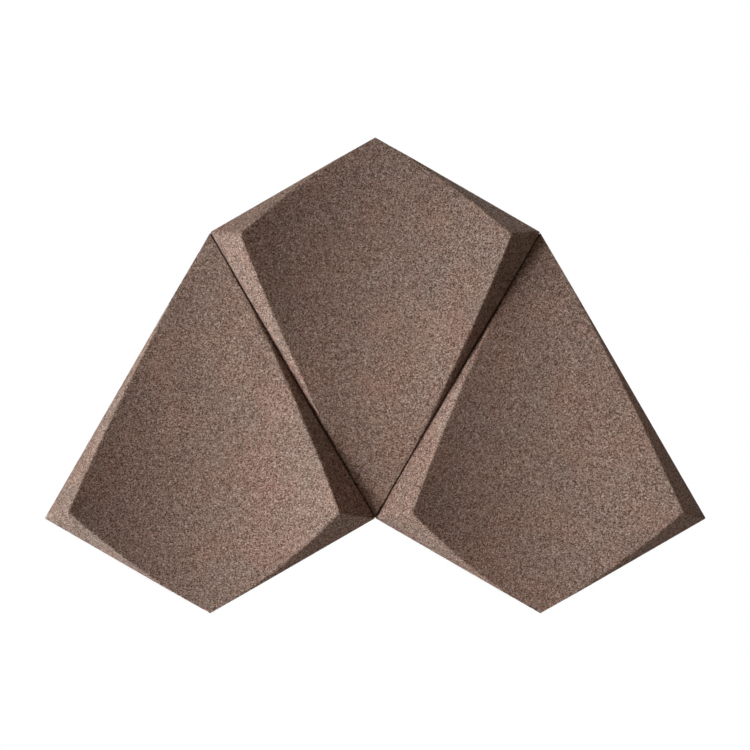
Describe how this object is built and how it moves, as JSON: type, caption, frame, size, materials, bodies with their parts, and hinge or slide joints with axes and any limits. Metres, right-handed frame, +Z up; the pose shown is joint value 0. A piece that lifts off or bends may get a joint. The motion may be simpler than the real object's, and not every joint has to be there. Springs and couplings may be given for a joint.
{
  "type": "cork acoustic wall panel",
  "caption": "Kite-shaped cork acoustic blocks butted side by side, each with a hollowed front, leaning sides and a flat back held to the wall by double-sided tape squares.",
  "frame": {"origin": "On the wall plane, at the outer face of the tape square behind the centre of the middle block, where the circle that touches all four of its sides is centred", "axes": "+X to the viewer's right along the panel, +Y into the wall, +Z up; the panel's face looks along -Y"},
  "size_m": [0.6566, 0.0523, 0.4735],
  "materials": {
    "cork": "matte, fine granules, tinted taupe brown",
    "foam_tape": "white closed-cell foam with a satin adhesive face"
  },
  "bodies": {
    "root": {"block_middle": "cork", "block_left": "cork", "block_right": "cork", "tape_middle_centre": "foam_tape", "tape_middle_top": "foam_tape", "tape_middle_bottom": "foam_tape", "tape_middle_left": "foam_tape", "tape_middle_right": "foam_tape", "tape_left_centre": "foam_tape", "tape_left_top": "foam_tape", "tape_left_bottom": "foam_tape", "tape_left_left": "foam_tape", "tape_left_right": "foam_tape", "tape_right_centre": "foam_tape", "tape_right_top": "foam_tape", "tape_right_bottom": "foam_tape", "tape_right_left": "foam_tape", "tape_right_right": "foam_tape"}
  },
  "joints": []
}
